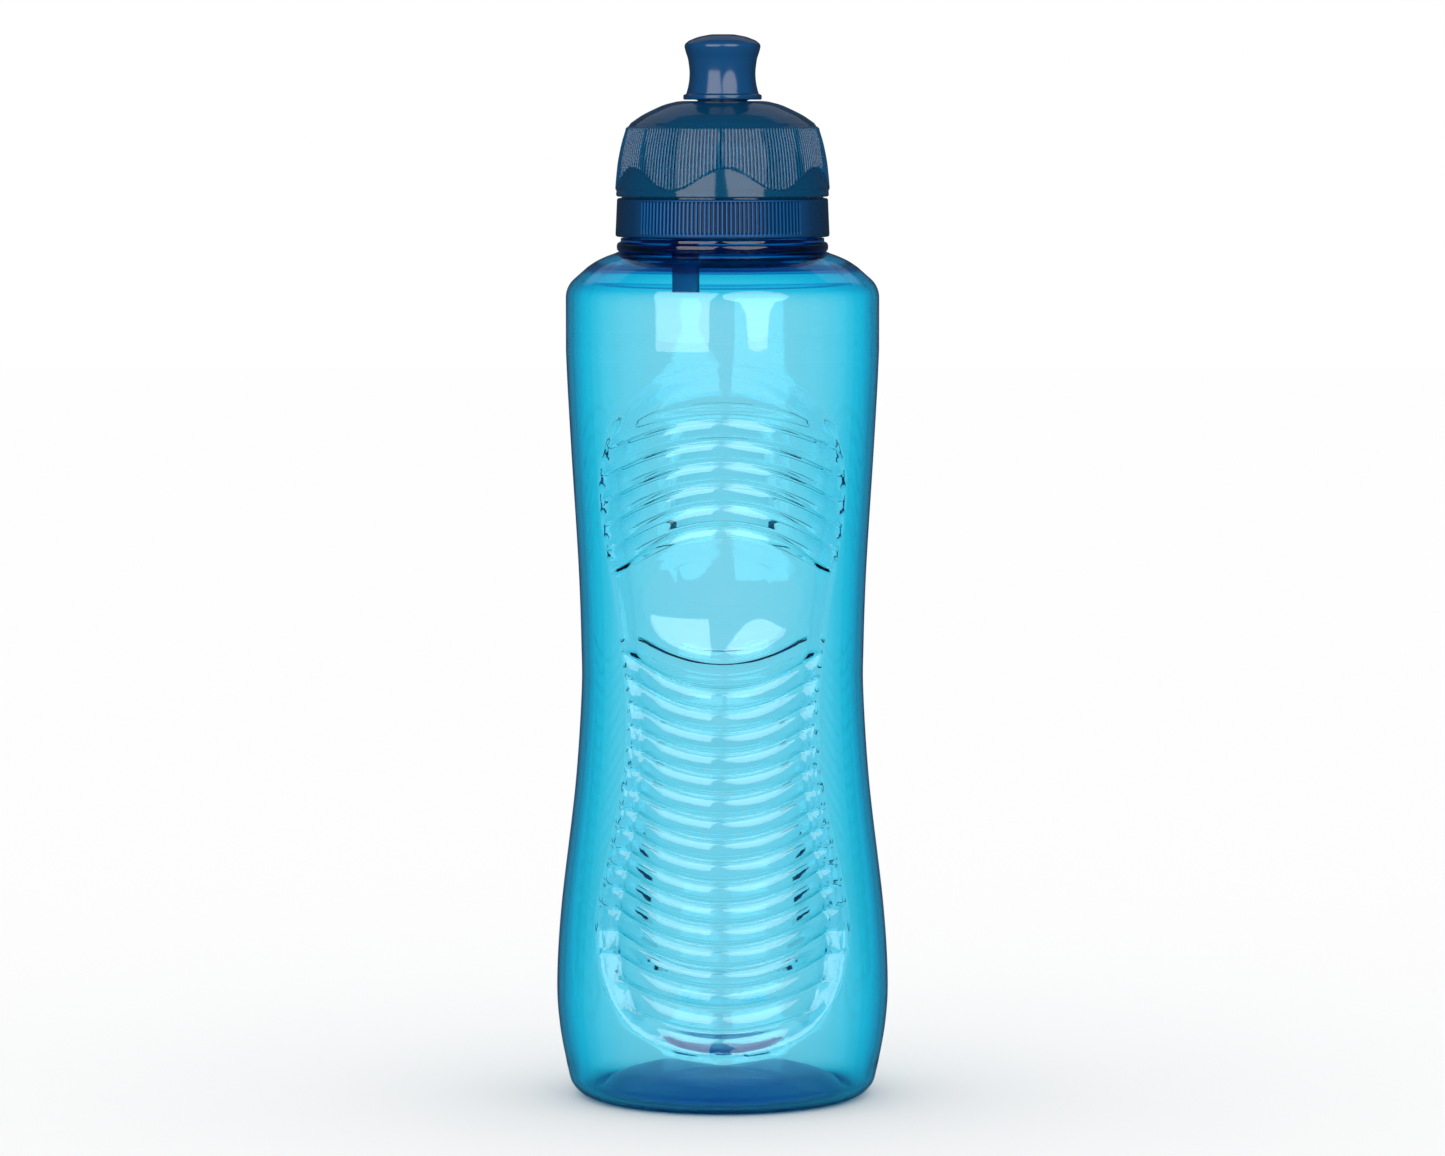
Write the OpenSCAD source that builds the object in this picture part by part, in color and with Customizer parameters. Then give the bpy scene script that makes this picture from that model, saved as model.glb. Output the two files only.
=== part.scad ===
// Sports squeeze bottle: a blow-moulded bottle with two grip panels, a screw
// ring, a translucent dome, an inner valve carrier and a push-pull spout.
// Millimetres. +Z is up, the origin is the centre of the foot ring on the
// table, and the two grip panels face -Y and +Y.

/* [Bottle] */
// Radius of the heel, the widest part of the bottle
heel_r = 40; // [39:0.5:41]
// Radius of the waist, the narrowest part of the grip
waist_r = 34; // [33:0.5:35]
// Radius of the straight barrel under the shoulder
barrel_r = 37.6; // [37:0.1:38]
// Wall thickness of the blown body
body_wall = 1.5; // [1.3:0.1:1.8]
// Thickness of the base inside the foot ring
base_wall = 3.6; // [2.4:0.1:4]
// Height of the push-up in the middle of the base
push_up = 3.5; // [2:0.5:5]

/* [Grip panels] */
// Number of rings above the thumb oval
upper_rings = 6; // [2:1:6]
// Number of rings below the thumb oval
lower_rings = 16; // [6:1:16]
// Height from one ring to the next
ring_pitch = 5.06; // [4.8:0.02:5.3]
// Depth of a ring in the panel floor
ring_depth = 0.55; // [0.3:0.05:0.7]
// Tilt of the upper rings, which arch up in the middle
upper_tilt = 26; // [18:1:28]
// Tilt of the lower rings, which sag in the middle
lower_tilt = 20; // [12:1:22]

/* [Neck and thread] */
// Outer radius of the neck tube
neck_r = 21.9; // [21.5:0.1:22.1]
// Wall thickness of the neck tube
neck_wall = 1.6; // [1.4:0.1:1.8]
// Height of the rim that the lid seals on
rim_z = 226.7; // [226:0.1:227]
// Rise of the thread in one turn
thread_lead = 3.2; // [3:0.1:3.4]
// How far each thread stands out of its wall
thread_depth = 1.1; // [0.9:0.05:1.1]

/* [Lid] */
// Outer radius at the bottom of the screw ring
ring_r = 25.65; // [25.4:0.05:25.9]
// Number of knurls in the front or the back field of the screw ring
ring_knurls = 41; // [21:2:41]
// Wall thickness of the dome
dome_wall = 1.3; // [1.1:0.1:1.5]
// Length of the guide leg below the valve carrier's skirt
leg_length = 8.8; // [4:0.2:10]

/* [Spout] */
// Radius of the spout's bite rim
spout_rim_r = 9.1; // [8.8:0.1:9.4]
// How far the spout pulls up to open
spout_travel = 5; // [4:0.5:5]
// Radius of the drinking hole, which the pin closes
drink_hole_r = 2.3; // [2.2:0.1:2.6]

/* [Hidden] */
$fn = 96;
fit_gap = 0.1;
free_gap = 0.3;

// Heights of the bottle, from the table up
foot_in_r = 28.6;
foot_out_r = 31.2;
corner_r = 6;
barrel_low_z = 180;
barrel_top_z = 190;
bead_z = [203.4, 206];
bead_r = 25.35;
ledge_r = 24.4;
ledge_top_z = 206.9;

// Heights of the lid
ring_z = [207.2, 216.4];
ring_socket_z = 213.2;
dome_z = [216.8, 239.6];
seal_z = [rim_z + 0.05, rim_z + 1.05];
flange_top_z = seal_z[1] + 1.3;
skirt_low_z = 203.8;

// Heights of the spout and its chimney
spout_low_z = 239.9;
spout_lip_top_z = 241.6;
spout_ceiling_z = 251.6;
spout_top_z = 255.5;
chimney_r = 6.45;
chimney_bore_r = 4.9;
chimney_bead_r = 6.9;
chimney_top_z = 250.6;
chimney_bead_z = spout_lip_top_z + spout_travel;
pin_r = drink_hole_r - fit_gap;
pin_top_z = 255.2;

// ---- curves ----

// One point of the smooth curve between b and c, which also heeds a and d
function curve_point(a, b, c, d, t) =
    0.5 * (2 * b + (c - a) * t + (2 * a - 5 * b + 4 * c - d) * t * t
           + (3 * b - a - 3 * c + d) * t * t * t);

// A smooth curve through a list of points, with steps pieces between two
function curve(p, steps = 4) =
    [for (i = [0 : len(p) - 2], k = [0 : steps - 1])
        curve_point(p[max(i - 1, 0)], p[i], p[i + 1],
                    p[min(i + 2, len(p) - 1)], k / steps),
     p[len(p) - 1]];

// Points on an arc about c, from angle a0 to a1
function arc(c, r, a0, a1, n = 6) =
    [for (i = [0 : n]) c + r * [cos(a0 + (a1 - a0) * i / n),
                                sin(a0 + (a1 - a0) * i / n)]];

// Moves every point of an outline in or out along r
function inset(p, d) = [for (q = p) [q[0] - d, q[1]]];

// ---- bottle ----

// The blown wall from the corner of the base to the barrel, as radius and height
body_line = curve([[heel_r - 2.3, 7.4], [heel_r - 0.6, 17.1], [heel_r, 28],
                   [heel_r - 1.1, 46.1], [waist_r + 1.5, 75.1], [waist_r, 97],
                   [waist_r, 109], [waist_r + 0.65, 128], [waist_r + 2.3, 155],
                   [barrel_r - 0.4, 171], [barrel_r, barrel_low_z]]);
shoulder_line = concat(
    [[barrel_r, barrel_top_z]],
    arc([barrel_r - 6, barrel_top_z + 2.6], 6, 8, 62),
    [[30.3, 201.3], [bead_r + 1.2, 203.0]]);

module bottle_outside() {
    rotate_extrude() polygon(concat(
        [[0, push_up], [foot_in_r - 3, push_up * 0.45], [foot_in_r, 0]],
        arc([foot_out_r, corner_r], corner_r, -90, -12),
        body_line,
        shoulder_line,
        arc([bead_r - 1.0, bead_z[0] + 1.1], 1.0, -60, 0, 2),
        arc([bead_r - 1.0, bead_z[1] - 1.0], 1.0, 0, 90, 3),
        [[ledge_r, bead_z[1]], [ledge_r, ledge_top_z], [neck_r, ledge_top_z]],
        arc([neck_r - 0.6, rim_z - 0.6], 0.6, 0, 90, 3),
        [[0, rim_z]]));
}

module bottle_cavity() {
    neck_in_r = neck_r - neck_wall;
    rotate_extrude() polygon(concat(
        [[0, push_up + base_wall], [foot_in_r - 3, push_up * 0.45 + base_wall]],
        arc([foot_out_r - 1.2, corner_r + 1.9], corner_r - 0.6, -80, -12, 4),
        inset(body_line, body_wall),
        [[barrel_r - body_wall, barrel_top_z - 0.5]],
        arc([barrel_r - body_wall - 5, barrel_top_z + 1.4], 5, 8, 68, 5),
        [[28, 198.6], [neck_in_r + 2.4, 200.4], [neck_in_r + 0.6, 202.2],
         [neck_in_r, 204.6], [neck_in_r, rim_z + 1], [0, rim_z + 1]]));
}

// Half width of a grip panel at the heights listed with it
panel_edge = [[0, 176.8], [9.5, 175.2], [18.5, 170.4], [25.2, 163], [28.4, 153],
              [28.6, 143], [26.2, 128], [23.3, 108], [21.9, 91], [23.8, 73],
              [27.4, 56], [29.4, 44], [28.2, 32.5], [23, 23], [12.5, 16.6], [0, 14.8]];

// The panel's floor, as radius and height; it meets the body at both ends
floor_line = curve([[barrel_r + 0.2, 180], [barrel_r - 0.9, 171], [waist_r + 1.5, 160],
                    [waist_r - 0.6, 128], [waist_r - 1.1, 97], [waist_r - 0.4, 75],
                    [waist_r + 1.4, 46], [waist_r + 2.6, 28], [waist_r + 3.6, 21.5],
                    [heel_r - 0.3, 13]], 3);

function floor_r(z) = lookup(z, [for (q = floor_line) [q[1], q[0]]]);

// A block behind the panel's outline, grown by margin on every side
module panel_block(margin) {
    reach = 60;
    middle_z = 95;
    tip_w = 10;
    side_w = 30;
    side = curve(panel_edge, 2);
    grow = [for (q = side) [q[0] + margin * min(1, q[0] / tip_w),
                            q[1] + margin * sign(q[1] - middle_z) * max(0, 1 - q[0] / side_w)]];
    rotate([90, 0, 0]) linear_extrude(reach)
        polygon(concat(grow, [for (i = [len(grow) - 2 : -1 : 1]) [-grow[i][0], grow[i][1]]]));
}

// Everything inside the panel's outline that lies outside its floor
module panel_pocket(margin, wall) {
    last = len(floor_line) - 1;
    above_z = 200;
    difference() {
        panel_block(margin);
        rotate_extrude() polygon(concat(
            [[0, 0], [floor_line[last][0] - wall, 0]],
            [for (i = [last : -1 : 0]) floor_line[i] - [wall, 0]],
            [[floor_line[0][0] - wall, above_z], [0, above_z]]));
    }
}

// A round groove in a tilted plane, which lies evenly in a floor of radius r
module tilted_groove(r, z, tilt) {
    bite_r = 1.6;
    near_r = r * cos(tilt);
    shift = r * pow(sin(tilt), 2) / cos(tilt);
    translate([0, -r, z]) rotate([tilt, 0, 0]) translate([0, near_r, 0])
        rotate_extrude() translate([near_r + bite_r - ring_depth, 0]) circle(bite_r, $fn = 24);
}

module grip_rings() {
    upper_z = 165.3;
    lower_z = 101.2;
    for (i = [0 : upper_rings - 1])
        tilted_groove(floor_r(upper_z - i * ring_pitch), upper_z - i * ring_pitch, -upper_tilt);
    for (i = [0 : lower_rings - 1])
        tilted_groove(floor_r(lower_z - i * ring_pitch), lower_z - i * ring_pitch,
                      lower_tilt * (1 - 0.5 * i / lower_rings));
}

// One helical thread; its flanks narrow from root to crest
module thread(root_r, crest_r, z, turns, root_h, crest_h) {
    step = 7.5;
    count = round(turns * 360 / step);
    fade = 4;
    out = sign(crest_r - root_r);
    back = root_r - 0.4 * out;
    function crest(i) = root_r + (crest_r - root_r) * max(0.05, min(1, i / fade, (count - i) / fade));
    points = [for (i = [0 : count])
        let (a = i * step, h = z + thread_lead * a / 360, c = crest(i))
        each [[back * cos(a), back * sin(a), h - root_h / 2],
              [c * cos(a), c * sin(a), h - crest_h / 2],
              [c * cos(a), c * sin(a), h + crest_h / 2],
              [back * cos(a), back * sin(a), h + root_h / 2]]];
    flip = crest_r > root_r;
    quads = [for (i = [0 : count - 1], k = [0 : 3])
        let (a = 4 * i + k, b = 4 * i + (k + 1) % 4)
        each flip ? [[a, b, b + 4], [a, b + 4, a + 4]]
                  : [[a, b + 4, b], [a, a + 4, b + 4]]];
    ends = [[0, 1, 2], [0, 2, 3]];
    last = 4 * count;
    caps = [for (t = ends)
        each flip ? [[t[2], t[1], t[0]], [last + t[0], last + t[1], last + t[2]]]
                  : [t, [last + t[2], last + t[1], last + t[0]]]];
    polyhedron(points, concat(quads, caps));
}

thread_root_h = 1.6;
thread_crest_h = 0.8;
ring_thread_z = 208.5;
neck_thread_z = ring_thread_z + 1.55;

module bottle_shell() {
    color([0.30, 0.78, 0.90, 0.5])
    union() {
        difference() {
            bottle_outside();
            for (side = [0, 180]) rotate(side) {
                panel_pocket(0, 0);
                intersection() {
                    panel_block(-0.8);
                    grip_rings();
                }
            }
            difference() {
                bottle_cavity();
                for (side = [0, 180]) rotate(side) panel_pocket(body_wall, body_wall);
            }
        }
        thread(neck_r, neck_r + thread_depth, neck_thread_z, 1.25,
               thread_root_h, thread_crest_h);
    }
}

// ---- screw ring ----

// One upright notch between two knurls
module knurl_notch() {
    floor_w = 0.3;
    mouth_w = 1.7;
    depth = 0.35;
    translate([0, 0, ring_z[0] + 0.9])
        linear_extrude(ring_z[1] - ring_z[0] - 1.3)
            polygon([[ring_r - depth, -floor_w / 2], [ring_r + 1, -mouth_w / 2],
                     [ring_r + 1, mouth_w / 2], [ring_r - depth, floor_w / 2]]);
}

module screw_ring() {
    bore_r = neck_r + thread_depth + free_gap;
    socket_r = 24.25;
    knurl_pitch = 2.34;
    field_turn = -1.3;
    edge = 0.5;
    color([0.05, 0.24, 0.46])
    union() {
        difference() {
            rotate_extrude() polygon(concat(
                [[bore_r, ring_z[0]]],
                arc([ring_r - edge, ring_z[0] + edge], edge, -90, 0, 3),
                arc([ring_r - 0.35 - edge, ring_z[1] - edge], edge, 0, 90, 3),
                [[socket_r, ring_z[1]], [socket_r, ring_socket_z], [bore_r, ring_socket_z]]));
            for (side = [-90, 90], i = [0 : ring_knurls])
                rotate(side + field_turn + (i - ring_knurls / 2) * knurl_pitch)
                    knurl_notch();
        }
        thread(bore_r, bore_r - thread_depth, ring_thread_z, 1, thread_root_h, thread_crest_h);
    }
}

// ---- dome ----

dome_side = curve([[25.5, 217.1], [25.3, 220.7], [24.7, 225.5], [23.9, 229.4], [22.9, 232.8]], 3);
dome_top = curve([[22.2, 234.2], [18.5, 236.6], [14.2, 238.6], [10.6, 239.5]], 3);
dome_hole_r = 6.1;

module dome_cover() {
    spigot_r = 24.2;
    spigot_wall = 0.8;
    press_rib_r = 21.5;
    collar_r = 7.6;
    color([0.10, 0.30, 0.48, 0.7])
    rotate_extrude() polygon(concat(
        [[dome_hole_r, 238.2], [collar_r, 238.2]],
        [for (i = [len(dome_top) - 1 : -1 : 5]) dome_top[i] - [0.5, dome_wall]],
        [[press_rib_r - 0.9, 233.9], [press_rib_r - 0.9, flange_top_z + 0.1],
         [press_rib_r, flange_top_z + 0.1], [press_rib_r, 232.8]],
        [for (i = [len(dome_side) - 2 : -1 : 1]) dome_side[i] - [dome_wall, 0]],
        [[spigot_r - spigot_wall, 218.2], [spigot_r - spigot_wall, ring_socket_z + 0.4],
         [spigot_r, ring_socket_z + 0.4], [spigot_r, dome_z[0]], [25.2, dome_z[0]]],
        dome_side, [[22.65, 233.65]], dome_top,
        [[10, dome_z[1]], [dome_hole_r, dome_z[1]]]));
}

// ---- valve carrier ----

skirt_r = neck_r - neck_wall - free_gap;
skirt_wall = 1.3;

module pin_spider() {
    spoke_w = 1.6;
    spoke_z = [236.6, 238.4];
    tip = 0.6;
    translate([0, 0, spoke_z[0]]) cylinder(r = pin_r, h = pin_top_z - spoke_z[0] - tip);
    translate([0, 0, pin_top_z - tip]) cylinder(r1 = pin_r, r2 = pin_r - tip, h = tip);
    for (i = [0 : 2]) rotate(120 * i + 30)
        translate([0, -spoke_w / 2, spoke_z[0]])
            cube([chimney_bore_r + 0.5, spoke_w, spoke_z[1] - spoke_z[0]]);
}

// The guide leg: an arc of the skirt, drawn down past the neck
module guide_leg() {
    leg_w = 6.5;
    leg_wall = 1.4;
    leg_angle = -117;
    root = 2;
    low_z = skirt_low_z - leg_length;
    rotate(leg_angle) intersection() {
        translate([0, -leg_w / 2, low_z]) cube([skirt_r + 1, leg_w, leg_length + root]);
        rotate_extrude() translate([skirt_r - leg_wall, low_z])
            square([leg_wall, leg_length + root]);
    }
}

module valve_carrier() {
    flange_r = 22.5;
    lead_in = 0.8;
    groove_r = dome_hole_r - fit_gap;
    seal_groove_r = 5.85;
    color([0.06, 0.22, 0.42])
    union() {
        rotate_extrude() polygon([
            [skirt_r - skirt_wall, skirt_low_z], [skirt_r, skirt_low_z + lead_in], [skirt_r, seal_z[1]],
            [flange_r, seal_z[1]], [flange_r, flange_top_z], [18.6, flange_top_z],
            [17.4, 230.6], [8.4, 236.3], [chimney_r, 236.9],
            [chimney_r, 237.9], [groove_r, 238.0], [groove_r, 239.8], [chimney_r, 239.8],
            [chimney_r, chimney_bead_z], [chimney_bead_r, chimney_bead_z + 0.2],
            [chimney_bead_r, 247.9], [seal_groove_r, 247.9], [seal_groove_r, 249.3],
            [chimney_bead_r, 249.3], [chimney_bead_r, 250.2], [chimney_bead_r - 0.4, chimney_top_z],
            [chimney_bore_r, chimney_top_z], [chimney_bore_r, 236],
            [7.4, 235.3], [16.4, 229.6], [skirt_r - skirt_wall, 227.6]]);
        pin_spider();
        guide_leg();
    }
}

// ---- seals ----

module neck_seal() {
    seal_r = 22.2;
    color([0.12, 0.14, 0.18])
    rotate_extrude() translate([neck_r - neck_wall, seal_z[0]])
        square([seal_r - neck_r + neck_wall, seal_z[1] - seal_z[0]]);
}

module spout_seal() {
    section_r = 0.55;
    seal_gap = 0.05;
    middle_z = 248.6;
    color([0.12, 0.14, 0.18])
    rotate_extrude() translate([chimney_bead_r + fit_gap - seal_gap - section_r, middle_z])
        circle(section_r, $fn = 32);
}

// ---- spout ----

module spout() {
    bore_r = chimney_bead_r + fit_gap;
    lip_r = chimney_r + fit_gap;
    waist_r = spout_rim_r - 1.2;
    color([0.11, 0.33, 0.55])
    rotate_extrude() polygon(concat(
        [[lip_r, spout_low_z], [9.2, spout_low_z], [9.4, spout_low_z + 0.2],
         [9.4, 240.9], [9.2, 241.2], [8.65, 241.4]],
        curve([[waist_r + 0.7, 241.6], [waist_r + 0.1, 244.4], [waist_r, 246.3],
               [waist_r + 0.15, 248.2], [waist_r + 0.65, 250.6], [spout_rim_r - 0.2, 251.6]], 3),
        arc([spout_rim_r - 1.1, 252.6], 1.1, 0, 60, 4),
        curve([[6.8, 254.5], [5.5, 255.0], [drink_hole_r + 0.5, spout_top_z],
               [drink_hole_r, spout_top_z - 0.2]], 2),
        [[drink_hole_r, spout_ceiling_z], [bore_r, spout_ceiling_z], [bore_r, spout_lip_top_z],
         [lip_r, spout_lip_top_z]]));
}

bottle_shell();
screw_ring();
dome_cover();
valve_carrier();
neck_seal();
spout();
spout_seal();
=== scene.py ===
# A sports squeeze bottle: clear blown bottle with two ribbed grip panels, and a dark blue lid
# made of a screw ring, a ribbed dome, an inner valve carrier and a push-pull spout.
# Metres, +Z up, the bottle stands on z = 0 and its grip panels face -Y and +Y.

import math

import bmesh
import bpy
import numpy as np
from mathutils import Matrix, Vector


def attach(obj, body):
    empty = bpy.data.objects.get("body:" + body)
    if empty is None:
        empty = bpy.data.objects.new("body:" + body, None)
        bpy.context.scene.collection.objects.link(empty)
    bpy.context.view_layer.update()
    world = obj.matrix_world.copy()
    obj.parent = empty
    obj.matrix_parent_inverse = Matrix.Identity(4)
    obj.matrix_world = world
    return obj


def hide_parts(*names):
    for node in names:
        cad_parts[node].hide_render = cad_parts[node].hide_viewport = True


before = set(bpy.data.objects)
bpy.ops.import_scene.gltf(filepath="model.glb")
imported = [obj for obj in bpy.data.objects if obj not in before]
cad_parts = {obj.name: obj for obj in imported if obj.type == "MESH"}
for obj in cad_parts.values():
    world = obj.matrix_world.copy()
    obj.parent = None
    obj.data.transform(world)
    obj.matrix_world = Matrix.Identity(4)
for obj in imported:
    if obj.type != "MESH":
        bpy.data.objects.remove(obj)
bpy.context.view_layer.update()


# ---- studio ----
# A white sweep under and behind the bottle, one square and one round soft light in front of it
# to the left and right, and a wide dim light high behind it. The camera is a long lens at the
# height of the lid, tipped a little down.

camera_distance, camera_height = 1.44, 0.239
camera_pitch, lens_mm = 4.523, 149.45
lamps_aim_at = Vector((0, 0, 0.14))
sweep_size = 8.0
sweep_white = (0.99, 0.99, 0.99, 1.0)
world_white = (1.0, 1.0, 1.0, 1.0)
lamp_white = (1.0, 0.93, 0.87)
room_in_mirror = (0.045, 0.07, 0.11, 1.0)
room_after_one_bounce = (0.55, 0.60, 0.65, 1.0)
room_after_two_bounces = (0.06, 0.12, 0.27, 1.0)


def studio_world():
    # Everything seen straight through the plastic sees white; mirror images see a dim room.
    world = bpy.data.worlds.new("studio")
    bpy.context.scene.world = world
    world.use_nodes = True
    tree = world.node_tree
    tree.nodes.clear()
    path = tree.nodes.new("ShaderNodeLightPath")

    def passed(output, count):
        test = tree.nodes.new("ShaderNodeMath")
        test.operation = "GREATER_THAN"
        test.inputs[1].default_value = count - 0.5
        tree.links.new(path.outputs[output], test.inputs[0])
        return test.outputs[0]

    def blend(factor, before, after):
        mix = tree.nodes.new("ShaderNodeMix")
        mix.data_type = "RGBA"
        tree.links.new(factor, mix.inputs["Factor"])
        if isinstance(before, tuple):
            mix.inputs["A"].default_value = before
        else:
            tree.links.new(before, mix.inputs["A"])
        if isinstance(after, tuple):
            mix.inputs["B"].default_value = after
        else:
            tree.links.new(after, mix.inputs["B"])
        return mix.outputs["Result"]

    mirrored = blend(passed("Transmission Depth", 1), room_in_mirror, room_after_one_bounce)
    inside = blend(passed("Glossy Depth", 2), mirrored, room_after_two_bounces)
    colour = blend(passed("Glossy Depth", 1), world_white, inside)
    background = tree.nodes.new("ShaderNodeBackground")
    out = tree.nodes.new("ShaderNodeOutputWorld")
    tree.links.new(colour, background.inputs["Color"])
    tree.links.new(background.outputs[0], out.inputs["Surface"])
    world.cycles.sampling_method = "NONE"


def soft_light(name, shape, width, height, azimuth, elevation, distance, radiance):
    # Azimuth is counted from the camera's side, to the right; the light faces the bottle.
    light = bpy.data.lights.new(name, "AREA")
    light.shape = shape
    light.size = width
    light.size_y = height
    area = width * height * (math.pi / 4 if shape == "ELLIPSE" else 1)
    light.energy = radiance * area * math.pi
    light.color = lamp_white
    lamp = bpy.data.objects.new(name, light)
    bpy.context.collection.objects.link(lamp)
    a, e = math.radians(azimuth), math.radians(elevation)
    away = Vector((math.sin(a) * math.cos(e), -math.cos(a) * math.cos(e), math.sin(e)))
    lamp.location = lamps_aim_at + away * distance
    lamp.rotation_mode = "QUATERNION"
    lamp.rotation_quaternion = away.to_track_quat("Z", "Y")
    lamp.visible_camera = False
    return lamp


studio_world()
lamps = [soft_light("left_box", "RECTANGLE", width=1.02, height=1.15, azimuth=-29.5,
                    elevation=22, distance=1.3, radiance=3.1),
         soft_light("right_round", "ELLIPSE", width=1.12, height=1.25, azimuth=25.5,
                    elevation=24, distance=1.3, radiance=3.1),
         soft_light("back_top", "RECTANGLE", width=2.2, height=0.9, azimuth=180,
                    elevation=42, distance=1.7, radiance=0.22)]

bpy.ops.mesh.primitive_plane_add(size=sweep_size)
sweep = bpy.context.object
sweep.name = "floor"
sweep_paint = bpy.data.materials.new("white_sweep")
sweep_paint.use_nodes = True
paper = sweep_paint.node_tree.nodes["Principled BSDF"]
paper.inputs["Base Color"].default_value = sweep_white
paper.inputs["Roughness"].default_value = 0.9
paper.inputs["Specular IOR Level"].default_value = 0.0
sweep.data.materials.append(sweep_paint)
unlit = bpy.data.collections.new("lit_by_the_room_only")
unlit.objects.link(sweep)
unlit.collection_objects[0].light_linking.link_state = "EXCLUDE"
for lamp in lamps:
    lamp.light_linking.receiver_collection = unlit

camera_data = bpy.data.cameras.new("camera")
camera_data.lens = lens_mm
camera_data.sensor_width = 36.0
camera_data.clip_end = 50
camera = bpy.data.objects.new("camera", camera_data)
bpy.context.collection.objects.link(camera)
camera.location = (0, -camera_distance, camera_height)
camera.rotation_euler = (math.radians(90 - camera_pitch), 0, 0)
bpy.context.scene.camera = camera
bpy.context.scene.view_settings.view_transform = "Standard"


# ---- bottle ----
# One blow-moulded bottle of clear cyan copolyester, about 1.5 mm thick and thicker in the base
# and shoulder. The two grip panels, the bead under the ring, the neck and its thread are all
# formed in the same mould.

MM = 0.001
heel_r, waist_r, barrel_r = 40.0, 34.0, 37.6
body_wall, base_wall, push_up = 1.5, 3.6, 3.5
foot_in_r, foot_out_r, corner_r = 28.6, 31.2, 6.0
bead_r, ledge_r, neck_r, neck_wall, rim_z = 25.35, 24.4, 21.9, 1.6, 226.7
thread_lead, thread_depth, thread_turns, neck_thread_z = 3.2, 1.1, 1.25, 210.05
ring_pitch, ring_depth = 5.06, 0.85
upper_first_z, upper_rings = 165.3, 6
lower_first_z, lower_rings = 101.2, 18
between_z = 120.0
oval_z, oval_half_w, oval_half_h, oval_dish = 122.0, 20.4, 12.3, 1.25


def curve(points, steps=12):
    # A smooth curve through the points, with steps pieces between two of them.
    p = np.array(points, float)
    p = np.vstack([p[0], p, p[-1]])
    t = np.arange(steps)[:, None] / steps
    pieces = []
    for a, b, c, d in zip(p[:-3], p[1:-2], p[2:-1], p[3:]):
        pieces.append(0.5 * (2 * b + (c - a) * t + (2 * a - 5 * b + 4 * c - d) * t**2
                             + (3 * b - a - 3 * c + d) * t**3))
    return np.vstack(pieces + [p[-1:]])


def arc(centre_r, centre_z, radius, start, end, pieces=8):
    a = np.radians(np.linspace(start, end, pieces + 1))
    return np.column_stack([centre_r + radius * np.cos(a), centre_z + radius * np.sin(a)])


def ease(t):
    t = np.clip(t, 0, 1)
    return t * t * (3 - 2 * t)


def lathe(name, r, z, angles, loop=True):
    # r and z hold one row for each step of the profile and one column for each angle, in mm.
    # A profile that isn't a loop starts and ends on the axis.
    rows, columns = r.shape
    x, y = r * np.cos(angles), r * np.sin(angles)
    points = np.stack([x, y, z], axis=-1).reshape(-1, 3) * MM
    here = np.arange(rows * columns).reshape(rows, columns)
    up = np.roll(here, -1, axis=0) if loop else here[1:]
    here = here if loop else here[:-1]
    quads = np.stack([here, np.roll(here, -1, 1), np.roll(up, -1, 1), up], axis=-1)
    mesh = bpy.data.meshes.new(name)
    mesh.from_pydata(points.tolist(), [], quads.reshape(-1, 4).tolist())
    if not loop:
        shape = bmesh.new()
        shape.from_mesh(mesh)
        on_axis = [v for v in shape.verts if v.co.x**2 + v.co.y**2 < 1e-12]
        bmesh.ops.remove_doubles(shape, verts=on_axis, dist=1e-6)
        shape.to_mesh(mesh)
        shape.free()
    mesh.shade_smooth()
    mesh.set_sharp_from_angle(angle=math.radians(50))
    piece = bpy.data.objects.new(name, mesh)
    bpy.context.collection.objects.link(piece)
    return piece


def plastic(name, colour, roughness, waviness, wave_size, transmission=0.0, ior=1.5, gloss=0.5):
    # Moulded plastic: the surface ripples a little and its gloss varies from place to place.
    paint = bpy.data.materials.new(name)
    paint.use_nodes = True
    tree = paint.node_tree
    shader = tree.nodes["Principled BSDF"]
    shader.inputs["Base Color"].default_value = (*colour, 1.0)
    shader.inputs["IOR"].default_value = ior
    shader.inputs["Specular IOR Level"].default_value = gloss
    shader.inputs["Transmission Weight"].default_value = transmission
    place = tree.nodes.new("ShaderNodeTexCoord")
    ripple = tree.nodes.new("ShaderNodeTexNoise")
    ripple.inputs["Scale"].default_value = 1.0 / (wave_size * MM)
    ripple.inputs["Detail"].default_value = 2.0
    tree.links.new(place.outputs["Object"], ripple.inputs["Vector"])
    bump = tree.nodes.new("ShaderNodeBump")
    bump.inputs["Strength"].default_value = 1.0
    bump.inputs["Distance"].default_value = waviness * MM
    tree.links.new(ripple.outputs["Factor" if "Factor" in ripple.outputs else "Fac"],
                   bump.inputs["Height"])
    tree.links.new(bump.outputs["Normal"], shader.inputs["Normal"])
    patches = tree.nodes.new("ShaderNodeTexNoise")
    patches.inputs["Scale"].default_value = 60.0
    patches.inputs["Detail"].default_value = 4.0
    tree.links.new(place.outputs["Object"], patches.inputs["Vector"])
    rub = tree.nodes.new("ShaderNodeMapRange")
    rub.inputs["To Min"].default_value = roughness * 0.8
    rub.inputs["To Max"].default_value = roughness * 1.25
    tree.links.new(patches.outputs[0], rub.inputs["Value"])
    tree.links.new(rub.outputs["Result"], shader.inputs["Roughness"])
    return paint


def tint_through(paint, colour, density):
    # Colour that deepens with the thickness of plastic that the light crosses.
    tree = paint.node_tree
    dye = tree.nodes.new("ShaderNodeVolumeAbsorption")
    dye.inputs["Color"].default_value = (*colour, 1.0)
    dye.inputs["Density"].default_value = density
    out = tree.nodes["Material Output"]
    tree.links.new(dye.outputs["Volume"], out.inputs["Volume"])


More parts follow.
